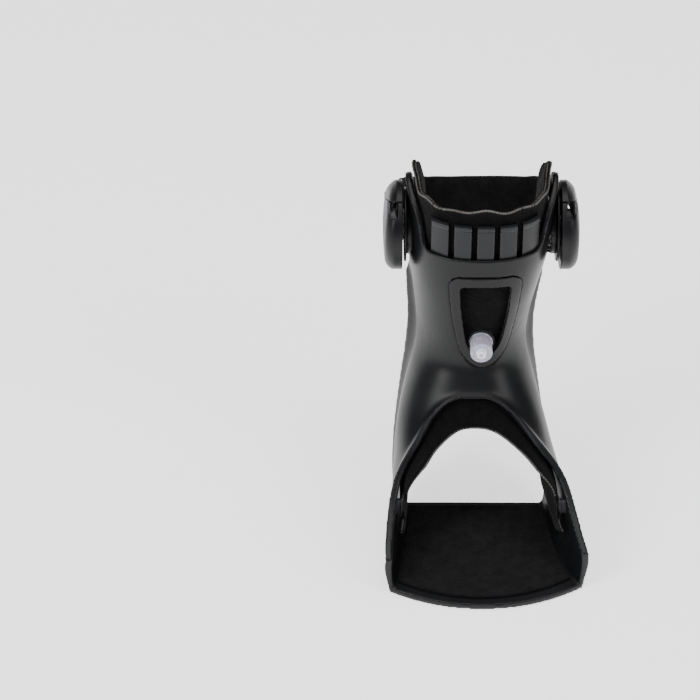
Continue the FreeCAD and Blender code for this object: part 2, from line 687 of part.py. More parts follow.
def make_buckle(blank):
    """The buckle's body, its release lever, the lever's pin and its leaf spring."""
    chord, radius = size("lever_chord"), size("buckle_radius")
    back, up = size("lever_pin_back"), size("lever_pin_up")
    gap, knuckle, cheek = size("loose_gap"), size("lever_knuckle"), size("cheek")
    hinge_back = back + knuckle
    half = size("tongue_width") / 2 + GAP
    middle = size("channel_offset")
    body_tools = [
        hub_rod("buckle_bore", "Sizes.rivet_radius + Sizes.running_fit",
                size("buckle_depth") + 2, BUCKLE_IN - 1),
        hub_rod("buckle_recess", "Sizes.rivet_head_radius + 0.2", HUB_RECESS + 1,
                BUCKLE_OUT - HUB_RECESS),
        hub_block("lever_room", BUCKLE_IN - 1, BUCKLE_OUT + 1, hinge_back + gap, radius + 1,
                  chord - gap, radius + 1),
        hub_block("spring_room", BUCKLE_IN + 1.0, BUCKLE_IN + 2.8, 10, 5, chord - gap - 1.4,
                  chord),
    ]
    base = cut("buckle_base", blank, *body_tools)
    cheek_in = hub_rod("cheek_in", "Sizes.lever_knuckle + 0.4", cheek, BUCKLE_IN, back, up)
    cheek_out = hub_rod("cheek_out", "Sizes.lever_knuckle + 0.4", cheek, BUCKLE_OUT - cheek,
                        back, up)
    cheek_near, cheek_far = back - knuckle - 0.4, back + knuckle + 0.4
    foot_in = hub_block("cheek_foot_in", BUCKLE_IN, BUCKLE_IN + cheek, cheek_far, -cheek_near,
                        chord - 2, up)
    foot_out = hub_block("cheek_foot_out", BUCKLE_OUT - cheek, BUCKLE_OUT, cheek_far,
                         -cheek_near, chord - 2, up)
    cheeks = common("cheeks", blank,
                    fuse("cheek_set", cheek_in, cheek_out, foot_in, foot_out))
    pin_room = hub_rod("cheek_bore", "Sizes.lever_pin_radius", size("buckle_depth") + 2,
                       BUCKLE_IN - 1, back, up)
    tongue_room = hub_block("tongue_room", BUCKLE_IN + size("channel_floor"),
                            TONGUE_IN + size("tongue_thickness") + 0.8, radius + 1,
                            radius + 1, middle - half, middle + half)
    both_sides(cut("buckle_body", fuse("buckle_joined", base, cheeks), pin_room, tongue_room),
               "buckle_body")

    span = hub_block("lever_span", BUCKLE_IN - 1, BUCKLE_OUT + 1, back, radius + 1, chord,
                     radius + 1)
    knuckle_rod = hub_rod("lever_knuckle_rod", "Sizes.lever_knuckle",
                          size("buckle_depth") - 2 * cheek - 2 * gap, BUCKLE_IN + cheek + gap,
                          back, up)
    room_in = hub_rod("cheek_room_in", "Sizes.lever_knuckle + 0.8", cheek + gap + 1,
                      BUCKLE_IN - 1, back, up)
    room_out = hub_rod("cheek_room_out", "Sizes.lever_knuckle + 0.8", cheek + gap + 1,
                       BUCKLE_OUT - cheek - gap, back, up)
    foot_room_in = hub_block("foot_room_in", BUCKLE_IN - 1, BUCKLE_IN + cheek + gap,
                             cheek_far + 1, gap - cheek_near, chord - 1, up)
    foot_room_out = hub_block("foot_room_out", BUCKLE_OUT - cheek - gap, BUCKLE_OUT + 1,
                              cheek_far + 1, gap - cheek_near, chord - 1, up)
    lever = common("lever_blank", blank, fuse("lever_form", span, knuckle_rod))
    bore = hub_rod("lever_bore", "Sizes.lever_pin_radius + Sizes.running_fit",
                   size("buckle_depth") + 2, BUCKLE_IN - 1, back, up)
    both_sides(cut("release_lever", lever, room_in, room_out, foot_room_in, foot_room_out,
                   bore), "release_lever")

    pin = hub_rod("lever_pin", "Sizes.lever_pin_radius", size("buckle_depth") - 3.0,
                  BUCKLE_IN + 0.6, back, up)
    both_sides(pin, "lever_pin")
    low = chord - gap - 1.4
    leaf = hub_block("lever_leaf", BUCKLE_IN + 1.1, BUCKLE_IN + 2.7, 9.8, 4.8, low,
                     low + size("spring_leaf"))
    both_sides(leaf, "lever_spring")


def make_hub_fasteners():
    """The rivet that is the hub's axle, with a head at each end, and its nylon washer."""
    inner = size("hub_face") - RIVET_SEAT - HEAD_GAP - size("rivet_head")
    outer = BUCKLE_OUT - HUB_RECESS + size("face_gap")
    shank = hub_rod("rivet_shank", "Sizes.rivet_radius", outer - inner, inner)
    head_in = hub_rod("rivet_head_in", "Sizes.rivet_head_radius", size("rivet_head"), inner)
    head_out = hub_rod("rivet_head_out", "Sizes.rivet_head_radius", size("rivet_head"), outer)
    both_sides(fuse("hub_rivet", shank, head_in, head_out), "hub_rivet")
    disc = hub_rod("washer_disc", "Sizes.washer_radius", size("washer_thickness"), PLATE_OUT)
    hole = hub_rod("washer_hole", "Sizes.rivet_radius + Sizes.running_fit", 5, PLATE_OUT - 2)
    both_sides(cut("hub_washer", disc, hole), "hub_washer")


make_plate()
make_buckle(make_blank())
make_hub_fasteners()

STRAP_OUT = TONGUE_IN
STRAP_IN = STRAP_OUT - size("strap_thickness")
RIVET_PLACES = [size("strap_front") + 2.6, size("tongue_tail") - 2.6]


def add_path(sketch, points, closed=True):
    """Straight lines through the points."""
    ends = points[1:] + points[:1] if closed else points[1:]
    for start, stop in zip(points, ends):
        sketch.addGeometry(Part.LineSegment(start, stop), False)


def make_tongue():
    """A flat toothed strip that the buckle's lever holds down, riveted to the strap."""
    tilt = math.radians(size("strap_tilt"))
    rearward = Vector(0, math.cos(tilt), -math.sin(tilt))
    upward = Vector(0, math.sin(tilt), math.cos(tilt))
    turn = Rotation(rearward, upward, Vector(1, 0, 0), "ZXY")
    body = new_body("TongueBody", Placement(Vector(TONGUE_IN, HUB.y, HUB.z), turn))
    low = size("channel_offset") - size("tongue_width") / 2
    high = low + size("tongue_width")
    nose, tail = -size("tongue_nose"), size("tongue_tail")
    round_off = 2.0
    outline = new_sketch(body, "TongueSketch")
    add_path(outline, [Vector(nose + round_off, low, 0), Vector(tail, low, 0),
                       Vector(tail, high, 0), Vector(nose + round_off, high, 0),
                       Vector(nose, high - round_off, 0), Vector(nose, low + round_off, 0)])
    for place in RIVET_PLACES:
        add_circle(outline, "Sizes.strap_rivet_radius", Vector(place, (low + high) / 2, 0))
    pad(body, outline, "Sizes.tongue_thickness", "TonguePad")
    doc.recompute()
    before = body.Shape.Volume
    pitch, depth = size("tooth_pitch"), 0.7
    first = nose + 4.0
    tooth = new_sketch(body, "ToothSketch")
    add_path(tooth, [Vector(first, high + 0.1, 0), Vector(first + pitch * 0.7, high + 0.1, 0),
                     Vector(first, high - depth, 0)])
    notch = body.newObject("PartDesign::Pocket", "ToothPocket")
    notch.Profile = tooth
    notch.Type = "ThroughAll"
    notch.Midplane = True
    doc.recompute()
    row = body.newObject("PartDesign::LinearPattern", "ToothRow")
    row.Originals = [notch]
    row.Direction = (tooth, ["H_Axis"])
    row.setExpression("Length", "Sizes.tooth_pitch * (Sizes.tooth_count - 1)")
    row.setExpression("Occurrences", "Sizes.tooth_count")
    body.Tip = row
    doc.recompute()
    if body.Shape.Volume >= before:
        raise RuntimeError("the tongue's teeth were not cut")
    both_sides(body, "strap_tongue")


def strap_curve(out, start, back, corner):
    """One side of the strap seen along its width: two straight sides, two corners, a back."""
    bevel = corner * (1 - math.sqrt(0.5))
    lines = [(-out, start, -out, back - corner), (corner - out, back, out - corner, back),
             (out, back - corner, out, start)]
    edges = [Part.LineSegment(Vector(a, b, 0), Vector(c, d, 0)) for a, b, c, d in lines]
    for turn in (-1, 1):
        edges.append(Part.Arc(Vector(turn * out, back - corner, 0),
                              Vector(turn * (out - bevel), back - bevel, 0),
                              Vector(turn * (out - corner), back, 0)))
    return edges


def make_strap(name, inner, outer, start, back_in, width):
    """A band of the given width that runs round the calf from buckle to buckle."""
    place = Placement(Vector(0, HUB.y, HUB.z), STRAP_FRAME.Rotation)
    body = new_body(name + "Body", place * Placement(Vector(0, 0, size("strap_drop")),
                                                     Rotation()))
    sketch = new_sketch(body, name + "Sketch")
    thick = outer - inner
    corner = size("strap_corner") - (STRAP_IN - inner)
    for edge in strap_curve(inner, start, back_in, corner):
        sketch.addGeometry(edge, False)
    for edge in strap_curve(outer, start, back_in + thick, corner + thick):
        sketch.addGeometry(edge, False)
    for turn in (-1, 1):
        sketch.addGeometry(Part.LineSegment(Vector(turn * inner, start, 0),
                                            Vector(turn * outer, start, 0)), False)
    pad(body, sketch, width, name + "Pad", midplane=True)
    return body


def make_calf_strap():
    """The strap, its pad and the rivets that hold it to the tongues."""
    strap = make_strap("Strap", STRAP_IN, STRAP_OUT, size("strap_front"), size("strap_back"),
                       "Sizes.strap_width")
    thick = size("tongue_thickness") + size("strap_thickness")
    holes, rivets = [], []
    for number, place in enumerate(RIVET_PLACES):
        across = size("channel_offset")
        hole = hub_rod(f"strap_hole{number}", "Sizes.strap_rivet_radius", 20, STRAP_IN - 8,
                       place, across)
        twin = doc.addObject("Part::Mirroring", f"strap_hole_twin{number}")
        twin.Source, twin.Normal = hole, Vector(1, 0, 0)
        holes += [hole, twin]
        shank = hub_rod(f"strap_shank{number}", "Sizes.strap_rivet_radius", thick, STRAP_IN,
                        place, across)
        heads = [hub_rod(f"strap_head{number}_{side}", "Sizes.strap_rivet_radius * 1.7", 0.8,
                         start, place, across)
                 for side, start in enumerate((STRAP_IN - 0.8, STRAP_IN + thick))]
        rivets.append(fuse(f"strap_rivet{number}", shank, *heads))
    keep(cut("strap", strap, *holes), "calf_strap")
    group = doc.addObject("Part::Compound", "strap_rivet_group")
    group.Links = rivets
    both_sides(group, "strap_rivets")
    pad_out = STRAP_IN - 1.2
    keep(make_strap("CalfPad", pad_out - size("pad_thickness"), pad_out,
                    size("tongue_tail") - 4, size("strap_back") - size("pad_thickness") - GAP,
                    "Sizes.pad_width"), "calf_pad")


make_tongue()
make_calf_strap()


# ---------------------------------------------------------------- checks and files
doc.recompute()
for obj in doc.Objects:
    if "Invalid" in obj.State or "Error" in obj.State:
        raise RuntimeError(f"{obj.Name} failed: {obj.State}")
os.makedirs("parts", exist_ok=True)
for obj in NODES:
    if obj.Shape.isNull() or not obj.Shape.isValid():
        raise RuntimeError(f"{obj.Label} has no valid shape")
    obj.Shape.exportStep(os.path.join("parts", obj.Label + ".step"))
print(f"{len(NODES)} sub-parts written")
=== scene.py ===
import bpy
import bmesh
import math
import numpy as np
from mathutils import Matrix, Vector
from mathutils.kdtree import KDTree


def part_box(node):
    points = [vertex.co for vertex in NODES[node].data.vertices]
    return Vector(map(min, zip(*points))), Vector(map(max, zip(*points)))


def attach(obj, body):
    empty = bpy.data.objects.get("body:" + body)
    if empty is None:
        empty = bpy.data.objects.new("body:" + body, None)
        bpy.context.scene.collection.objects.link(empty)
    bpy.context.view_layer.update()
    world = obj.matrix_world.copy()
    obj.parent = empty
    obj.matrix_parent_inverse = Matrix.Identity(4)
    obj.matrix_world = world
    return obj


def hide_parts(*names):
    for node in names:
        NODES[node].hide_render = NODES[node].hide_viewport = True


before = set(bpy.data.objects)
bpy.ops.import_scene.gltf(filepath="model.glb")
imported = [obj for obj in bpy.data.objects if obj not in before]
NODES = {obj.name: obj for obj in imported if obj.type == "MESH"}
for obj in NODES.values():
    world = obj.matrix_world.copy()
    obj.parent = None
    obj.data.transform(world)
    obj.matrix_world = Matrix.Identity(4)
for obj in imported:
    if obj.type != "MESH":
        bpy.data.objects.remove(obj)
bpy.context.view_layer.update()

MM = 0.001
SIDES = ("lateral", "medial")
WELD = 1e-6                     # points nearer than this are one point
WALL = 3.0 * MM                 # the shell's moulded wall
FABRIC = 1.5 * MM               # one layer of the liner
BUCKLE_RADIUS = 23 * MM
COLLAR_LOW = 139 * MM           # below the finger collar's seat
ROLL, ROLL_WIDTH = 2.5 * MM, 3.2 * MM           # outward roll of the rear rims
FLUTE, FLUTE_WIDTH, FLUTE_PLACE = 1.0 * MM, 3.0 * MM, 8 * MM
LIP, LIP_WIDTH = 1.3 * MM, 2.6 * MM             # outward lip of the instep rim
PAINTED_EDGE_HIGHLIGHT = (0.17, 0.16, 0.15)   # painted highlight along the liner's cut edge, lighter than the fabric
CLOTH_FRAMES = 12


# ---------------------------------------------------------------- places read from the frame
def middle(node):
    """The centre of a CAD node's box."""
    low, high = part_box(node)
    return (low + high) / 2


HUB = middle("hub_plate_lateral")
LEG_Y = HUB.y + 5 * MM
LINER_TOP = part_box("liner_face")[1].z
VALVE = middle("valve_body")
SPINE = [Vector((0, LEG_Y, 0.24)), Vector((-0.004, LEG_Y, 0.10)), Vector((-0.003, 0.052, 0.045)),
         Vector((0, 0.008, 0.028)), Vector((0.002, -0.08, 0.018))]


def smoothstep(low, high, value):
    """0 at low, 1 at high and an eased rise between them."""
    share = np.clip((value - low) / (high - low), 0, 1)
    return share * share * (3 - 2 * share)


def bell(distance, width):
    """1 at no distance, fading to nothing over a few widths."""
    return np.exp(-(distance / width) ** 2)


# ---------------------------------------------------------------- mesh tools
def new_object(name, mesh):
    """An object in the scene that holds the given data."""
    obj = bpy.data.objects.new(name, mesh)
    bpy.context.scene.collection.objects.link(obj)
    return obj


def coords(mesh):
    out = np.empty(len(mesh.vertices) * 3, np.float64)
    mesh.vertices.foreach_get("co", out)
    return out.reshape(-1, 3)


def set_coords(mesh, values):
    mesh.vertices.foreach_set("co", np.ascontiguousarray(values, np.float32).ravel())
    mesh.update()


def normals(mesh):
    out = np.empty(len(mesh.vertices) * 3, np.float64)
    mesh.vertices.foreach_get("normal", out)
    return out.reshape(-1, 3)


def edge_pairs(mesh):
    out = np.empty(len(mesh.edges) * 2, np.int64)
    mesh.edges.foreach_get("vertices", out)
    return out.reshape(-1, 2)


def relax(mesh, passes, inwards=0.5, outwards=0.53):
    """Smooths without shrinking: a step inwards, then a slightly larger step back out."""
    pairs = edge_pairs(mesh)
    points = coords(mesh)
    count = np.bincount(pairs.ravel(), minlength=len(points))[:, None].clip(1)
    for step in range(passes * 2):
        total = np.empty_like(points)
        for axis in range(3):
            total[:, axis] = (np.bincount(pairs[:, 0], points[pairs[:, 1], axis], len(points))
                              + np.bincount(pairs[:, 1], points[pairs[:, 0], axis], len(points)))
        points += (total / count - points) * (inwards if step % 2 == 0 else -outwards)
    set_coords(mesh, points)


def apply_modifiers(obj):
    """Makes the shape that the modifiers give the object's own mesh."""
    shape = bpy.data.meshes.new_from_object(
        obj.evaluated_get(bpy.context.evaluated_depsgraph_get()))
    old = obj.data
    obj.modifiers.clear()
    obj.data = shape
    bpy.data.meshes.remove(old)


def voxel(obj, size):
    """Rebuilds a closed mesh from cells of the given size."""
    modifier = obj.modifiers.new("voxel", "REMESH")
    modifier.mode = "VOXEL"
    modifier.voxel_size = size
    apply_modifiers(obj)


def welded(node):
    """An edit mesh of a CAD node's mesh, with doubled points merged."""
    work = bmesh.new()
    work.from_mesh(NODES[node].data)
    bmesh.ops.remove_doubles(work, verts=work.verts, dist=WELD)
    return work


def welded_copy(name, node):
    """A new object with a copy of a CAD node's mesh."""
    work = welded(node)
    mesh = bpy.data.meshes.new(name)
    work.to_mesh(mesh)
    work.free()
    return new_object(name, mesh)


def shade_smooth(obj):
    obj.data.polygons.foreach_set("use_smooth", [True] * len(obj.data.polygons))
    obj.data.update()


def moulded(name, node, size, passes):
    """A remeshed copy of a CAD node whose edges are rounded as a mould leaves them."""
    obj = welded_copy(name, node)
    voxel(obj, size)
    relax(obj.data, passes)
    shade_smooth(obj)
    return obj


def finish_piece(obj, body, slot, finish, *nodes):
    """The piece gets its material, rides on its body and stands for the CAD nodes."""
    obj.data.materials.clear()
    obj.data.materials.append(finish)
    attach(obj, body)
    if nodes:
        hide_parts(*nodes)


def along(edge, step=1.0 * MM):
    """Points along an edge, from its start to just short of its end."""
    start, stop = edge.verts[0].co, edge.verts[1].co
    count = max(1, int((stop - start).length / step))
    return [start.lerp(stop, number / count) for number in range(count)]


def sharp_points(node, angle=40):
    """Points along the sharp edges of a CAD node."""
    work = welded(node)
    found = []
    for edge in work.edges:
        if len(edge.link_faces) == 2 and edge.calc_face_angle(0) > math.radians(angle):
            found += along(edge)
    work.free()
    return found


def nearest_distance(points, targets):
    """For each point, how far away the nearest target is."""
    tree = KDTree(len(targets))
    for number, target in enumerate(targets):
        tree.insert(target, number)
    tree.balance()
    return np.array([tree.find(point)[2] for point in points])


def from_spine(points):
    """Unit directions away from the line that runs down the leg and along the foot."""
    best = np.full(len(points), 1e9)
    out = np.zeros_like(points)
    for start, stop in zip(SPINE, SPINE[1:]):
        a, d = np.array(start), np.array(stop - start)
        share = np.clip(((points - a) @ d) / (d @ d), 0, 1)[:, None]
        away = points - (a + share * d)
        length = np.linalg.norm(away, axis=1)
        closer = length < best
        best[closer] = length[closer]
        out[closer] = away[closer]
    return out / best[:, None].clip(1e-9)


def paint(obj, name, values):
    """Stores a value at each point for a material to read."""
    attribute = obj.data.attributes.new(name, "FLOAT", "POINT")
    attribute.data.foreach_set("value", np.asarray(values, np.float32))


def waves(points, seed, scale, count=6):
    """A smooth repeatable noise from a few sine waves in fixed directions."""
    random = np.random.default_rng(seed)
    total = np.zeros(len(points))
    for number in range(count):
        direction = random.normal(size=3)
        direction /= np.linalg.norm(direction)
        total += np.sin(points @ direction / scale * (1 + 0.35 * number)
                        + random.uniform(0, 6.28))
    return total / count


# ---------------------------------------------------------------- materials
def link(tree, source, target):
    tree.links.new(source, target)


def material(name, colour, roughness, **sockets):
    """A new material with its node tree and shader; sockets name the shader's inputs."""
    made = bpy.data.materials.new(name)
    made.use_nodes = True
    shader = made.node_tree.nodes["Principled BSDF"]
    shader.inputs["Base Color"].default_value = (*colour, 1)
    shader.inputs["Roughness"].default_value = roughness
    for socket, value in sockets.items():
        shader.inputs[socket.replace("_", " ")].default_value = value
    return made, made.node_tree, shader


def noise(tree, scale, detail=3.0, rough=0.55):
    """Cloudy noise that is fixed to the object."""
    coordinate = tree.nodes.new("ShaderNodeTexCoord")
    node = tree.nodes.new("ShaderNodeTexNoise")
    node.inputs["Scale"].default_value = scale
    node.inputs["Detail"].default_value = detail
    node.inputs["Roughness"].default_value = rough
    link(tree, coordinate.outputs["Object"], node.inputs["Vector"])
    return node


def ramp(tree, source, low, high, start=0.3, stop=0.7):
    """Stretches an output so that start to stop becomes low to high."""
    node = tree.nodes.new("ShaderNodeMapRange")
    node.inputs["From Min"].default_value = start
    node.inputs["From Max"].default_value = stop
    node.inputs["To Min"].default_value = low
    node.inputs["To Max"].default_value = high
    link(tree, source, node.inputs["Value"])
    return node.outputs["Result"]


def mix_colour(tree, share, first, second):
    """Blends from the first colour, a value or an output, to the second, a value."""
    node = tree.nodes.new("ShaderNodeMix")
    node.data_type = "RGBA"
    if isinstance(first, bpy.types.NodeSocket):
        link(tree, first, node.inputs[6])
    else:
        node.inputs[6].default_value = (*first, 1)
    node.inputs[7].default_value = (*second, 1)
    link(tree, share, node.inputs[0])
    return node.outputs[2]


def bump(tree, shader, heights):
    """Stacks bumps, each (height output, strength, distance), into the shader's normal."""
    last = None
    for source, strength, distance in heights:
        node = tree.nodes.new("ShaderNodeBump")
        node.inputs["Strength"].default_value = strength
        node.inputs["Distance"].default_value = distance
        link(tree, source, node.inputs["Height"])
        if last:
            link(tree, last, node.inputs["Normal"])
        last = node.outputs["Normal"]
    link(tree, last, shader.inputs["Normal"])


def plastic(name, colour, roughness, grain=0.25, spread=0.06, rims_worn_and_highlighted=True):
    """Moulded plastic: fine grain, uneven gloss, and rims lighter and glossier, partly from wear
    by handling and partly as a painted highlight.
    """
    made, tree, shader = material(name, colour, roughness, Specular_IOR_Level=0.24)
    cloud = noise(tree, 38, 4)
    grains = noise(tree, 2600, 2)
    rough = ramp(tree, cloud.outputs["Fac"], roughness - spread, roughness + spread)
    tone = [channel * 1.35 for channel in colour]
    shade = mix_colour(tree, ramp(tree, cloud.outputs["Fac"], 0, 1), colour, tone)
    if rims_worn_and_highlighted:
        rim = tree.nodes.new("ShaderNodeAttribute")
        rim.attribute_name = "rim"
        rim_wear_and_highlight = tree.nodes.new("ShaderNodeMath")
        rim_wear_and_highlight.operation = "MULTIPLY"
        link(tree, rim.outputs["Fac"], rim_wear_and_highlight.inputs[0])
        link(tree, ramp(tree, noise(tree, 420, 3).outputs["Fac"], 0.3, 1), rim_wear_and_highlight.inputs[1])
        # the rims' base colour is lightened here: partly wear, partly a painted highlight
        rim_wear_and_highlight_colour = [channel * 2.1 for channel in colour]
        shade = mix_colour(tree, rim_wear_and_highlight.outputs[0], shade, rim_wear_and_highlight_colour)
        gloss = tree.nodes.new("ShaderNodeMath")
        gloss.operation = "MULTIPLY_ADD"
        gloss.inputs[1].default_value = -0.1
        link(tree, rim_wear_and_highlight.outputs[0], gloss.inputs[0])
        link(tree, rough, gloss.inputs[2])
        rough = gloss.outputs[0]
    link(tree, shade, shader.inputs["Base Color"])
    link(tree, rough, shader.inputs["Roughness"])
    bump(tree, shader, [(grains.outputs["Fac"], grain, 0.00004),
                        (noise(tree, 60, 2).outputs["Fac"], 0.12, 0.0004)])
    return made


def felt(name, colour):
    """Brushed loop fabric: tiny tangled loops, soft sheen, a patchy nap and a painted highlight
    along the cut edges.
    """
    made, tree, shader = material(name, colour, 0.95, Sheen_Weight=0.05, Sheen_Roughness=0.5,
                                  Specular_IOR_Level=0.08)
    loops = tree.nodes.new("ShaderNodeTexVoronoi")
    loops.inputs["Scale"].default_value = 1500
    loops.inputs["Randomness"].default_value = 1.0
    coordinate = tree.nodes.new("ShaderNodeTexCoord")
    link(tree, coordinate.outputs["Object"], loops.inputs["Vector"])
    nap = noise(tree, 160, 5, 0.7)
    tone = [channel * 2.4 for channel in colour]
    share = ramp(tree, nap.outputs["Fac"], 0, 1, 0.35, 0.7)
    # the cut mask lightens the cut edges with a painted highlight
    cut = tree.nodes.new("ShaderNodeAttribute")
    cut.attribute_name = "cut"
    shade = mix_colour(tree, ramp(tree, cut.outputs["Fac"], 0, 1, 0.25, 0.9),
                       mix_colour(tree, share, colour, tone), PAINTED_EDGE_HIGHLIGHT)
    link(tree, shade, shader.inputs["Base Color"])
    bump(tree, shader, [(loops.outputs["Distance"], 0.8, 0.0004),
                        (nap.outputs["Fac"], 0.5, 0.0012)])
    return made


def webbing(name, colour, pitch):
    """Woven tape: ribs across the strap and finer warp yarns along it."""
    made, tree, shader = material(name, colour, 0.8, Sheen_Weight=0.25, Specular_IOR_Level=0.3)
    coordinate = tree.nodes.new("ShaderNodeTexCoord")
    heights = []
    for direction, scale, strength in (("Z", 1 / pitch, 0.8), ("DIAGONAL", 0.6 / pitch, 0.5)):
        wave = tree.nodes.new("ShaderNodeTexWave")
        wave.bands_direction = direction
        wave.inputs["Scale"].default_value = scale
        wave.inputs["Distortion"].default_value = 0.6
        wave.inputs["Detail Scale"].default_value = 2.0
        link(tree, coordinate.outputs["Object"], wave.inputs["Vector"])
        heights.append((wave.outputs["Fac"], strength, 0.0003))
    fuzz = noise(tree, 900, 3)
    tone = [channel * 2.2 for channel in colour]
    link(tree, mix_colour(tree, ramp(tree, fuzz.outputs["Fac"], 0, 1), colour, tone),
         shader.inputs["Base Color"])
    heights.append((fuzz.outputs["Fac"], 0.3, 0.0002))
    bump(tree, shader, heights)
    return made


def clear_plastic(name, colour):
    """Milky clear plastic with an uneven haze."""
    made, tree, shader = material(name, colour, 0.24, Transmission_Weight=0.45, IOR=1.45,
                                  Subsurface_Weight=0.25, Subsurface_Scale=0.004)
    haze = noise(tree, 220, 4)
    link(tree, ramp(tree, haze.outputs["Fac"], 0.18, 0.34), shader.inputs["Roughness"])
    tone = [min(1, channel * 1.06) for channel in colour]
    link(tree, mix_colour(tree, ramp(tree, haze.outputs["Fac"], 0, 1), colour, tone),
         shader.inputs["Base Color"])
    bump(tree, shader, [(noise(tree, 700, 2).outputs["Fac"], 0.1, 0.0001)])
    return made


def metal(name, colour, roughness):
    """Plain metal with a fine brushed grain."""
    made, tree, shader = material(name, colour, roughness, Metallic=1.0)
    brushed = noise(tree, 900, 3)
    link(tree, ramp(tree, brushed.outputs["Fac"], roughness - 0.08, roughness + 0.12),
         shader.inputs["Roughness"])
    tone = [min(1, channel * 1.25) for channel in colour]
    link(tree, mix_colour(tree, ramp(tree, noise(tree, 120).outputs["Fac"], 0, 1), colour,
                          tone), shader.inputs["Base Color"])
    bump(tree, shader, [(brushed.outputs["Fac"], 0.15, 0.00005)])
    return made


SHELL_PLASTIC = plastic("shell_plastic", (0.0062, 0.0064, 0.0072), 0.37)
COLLAR_PLASTIC = plastic("collar_plastic", (0.011, 0.0113, 0.0125), 0.36)
BEZEL_PLASTIC = plastic("bezel_plastic", (0.005, 0.005, 0.006), 0.28, 0.15)
BUCKLE_PLASTIC = plastic("buckle_plastic", (0.005, 0.005, 0.006), 0.4, 0.5)
TONGUE_PLASTIC = plastic("tongue_plastic", (0.05, 0.05, 0.055), 0.4)
CLIP_PLASTIC = plastic("clip_plastic", (0.03, 0.03, 0.033), 0.3, 0.2)
NYLON = plastic("washer_nylon", (0.62, 0.61, 0.57), 0.45, 0.3, rims_worn_and_highlighted=False)
RUBBER = plastic("valve_rubber", (0.012, 0.012, 0.012), 0.62, 0.5, rims_worn_and_highlighted=False)
WHITE = plastic("valve_white", (0.78, 0.76, 0.82), 0.3, 0.2, 0.05, rims_worn_and_highlighted=False)
CLEAR = clear_plastic("valve_clear", (0.74, 0.71, 0.86))
STEEL = metal("spring_steel", (0.6, 0.6, 0.6), 0.3)
BLACK_STEEL = metal("rivet_steel", (0.16, 0.16, 0.17), 0.38)
LINER = felt("liner_fabric", (0.0022, 0.0022, 0.0024))
PAD = felt("pad_fabric", (0.003, 0.003, 0.0033))
FOAM = felt("sole_foam", (0.0045, 0.0045, 0.005))
BLADDER = plastic("bladder_film", (0.03, 0.03, 0.033), 0.5, rims_worn_and_highlighted=False)
TAPE = webbing("strap_webbing", (0.004, 0.004, 0.0045), 0.9 * MM)


# ---------------------------------------------------------------- camera, floor and light
def make_camera():
    """A long lens in front of the toes, above, and a little to the inner side."""
    elevation = math.radians(35)
    distance = 1.6
    aim = Vector((-0.0673, 0.038, 0.1046))
    data = bpy.data.cameras.new("camera")
    data.sensor_width = 36
    data.lens = 161
    camera = new_object("camera", data)
    camera.location = aim + Vector((0, -math.cos(elevation), math.sin(elevation))) * distance
    camera.rotation_euler = (math.pi / 2 - elevation, 0, 0)
    bpy.context.scene.camera = camera


def make_light(name, place, size, power):
    """A soft rectangular lamp that faces the part."""
    data = bpy.data.lights.new(name, "AREA")
    data.shape = "RECTANGLE"
    data.size, data.size_y = size
    data.energy = power
    lamp = new_object(name, data)
    lamp.location = place
    target = Vector((0, 0.04, 0.09))
    lamp.rotation_euler = (target - Vector(place)).to_track_quat("-Z", "Y").to_euler()


def make_stage():
    """The pale floor, the studio's light and three lamps."""
    mesh = bpy.data.meshes.new("floor")
    span = 6
    mesh.from_pydata([(-span, -span, 0), (span, -span, 0), (span, span, 0), (-span, span, 0)],
                     [], [(0, 1, 2, 3)])
    floor = new_object("floor", mesh)
    made, tree, shader = material("floor", (0.92, 0.92, 0.92), 0.75)
    link(tree, mix_colour(tree, noise(tree, 3).outputs["Fac"], (0.91, 0.91, 0.91),
                          (0.94, 0.94, 0.94)), shader.inputs["Base Color"])
    shader.inputs["Emission Color"].default_value = (1, 1, 1, 1)
    shader.inputs["Emission Strength"].default_value = 1.3
    floor.data.materials.append(made)
    world = bpy.data.worlds.new("studio")
    bpy.context.scene.world = world
    world.use_nodes = True
    tree = world.node_tree
    background = tree.nodes["Background"]
    background.inputs["Strength"].default_value = 1.0
    coordinate = tree.nodes.new("ShaderNodeTexCoord")
    split = tree.nodes.new("ShaderNodeSeparateXYZ")
    link(tree, coordinate.outputs["Generated"], split.inputs[0])
    height = ramp(tree, split.outputs["Z"], 0.0, 1.0, 0.5, 0.95)
    link(tree, mix_colour(tree, height, (0.06, 0.06, 0.063), (0.9, 0.9, 0.9)),
         background.inputs["Color"])
    make_light("key", (-1.0, -0.6, 1.0), (0.5, 0.8), 12)
    make_light("fill", (1.1, -0.6, 0.9), (0.35, 0.8), 6)
    make_light("overhead", (0.0, 0.3, 1.9), (1.4, 1.4), 15)


make_camera()
make_stage()


# ---------------------------------------------------------------- shell
def smooth_patches(work, angle=15):
    """Groups of faces that meet at less than this angle."""
    limit = math.radians(angle)
    seen, groups = set(), []
    for first in work.faces:
        if first in seen:
            continue
        seen.add(first)
        group, queue = [], [first]
        while queue:
            face = queue.pop()
            group.append(face)
            for edge in face.edges:
                if len(edge.link_faces) != 2 or edge.calc_face_angle(0) > limit:
                    continue
                for other in edge.link_faces:
                    if other not in seen:
                        seen.add(other)
                        queue.append(other)
        groups.append(group)
    return groups


def outer_skin(node):
    """The faces of a CAD skin that look away from the wearer, as a new mesh."""
    work = welded(node)
    work.normal_update()
    middles = np.array([face.calc_center_median() for face in work.faces])
    facing = np.einsum("ij,ij->i", from_spine(middles),
                       np.array([face.normal for face in work.faces]))
    areas = np.array([face.calc_area() for face in work.faces])
    work.faces.index_update()
    drop = []
    for group in smooth_patches(work):
        index = [face.index for face in group]
        share = np.average(facing[index], weights=areas[index] + 1e-15)
        if share < 0.6:
            drop += group
    bmesh.ops.delete(work, geom=drop, context="FACES")
    return work


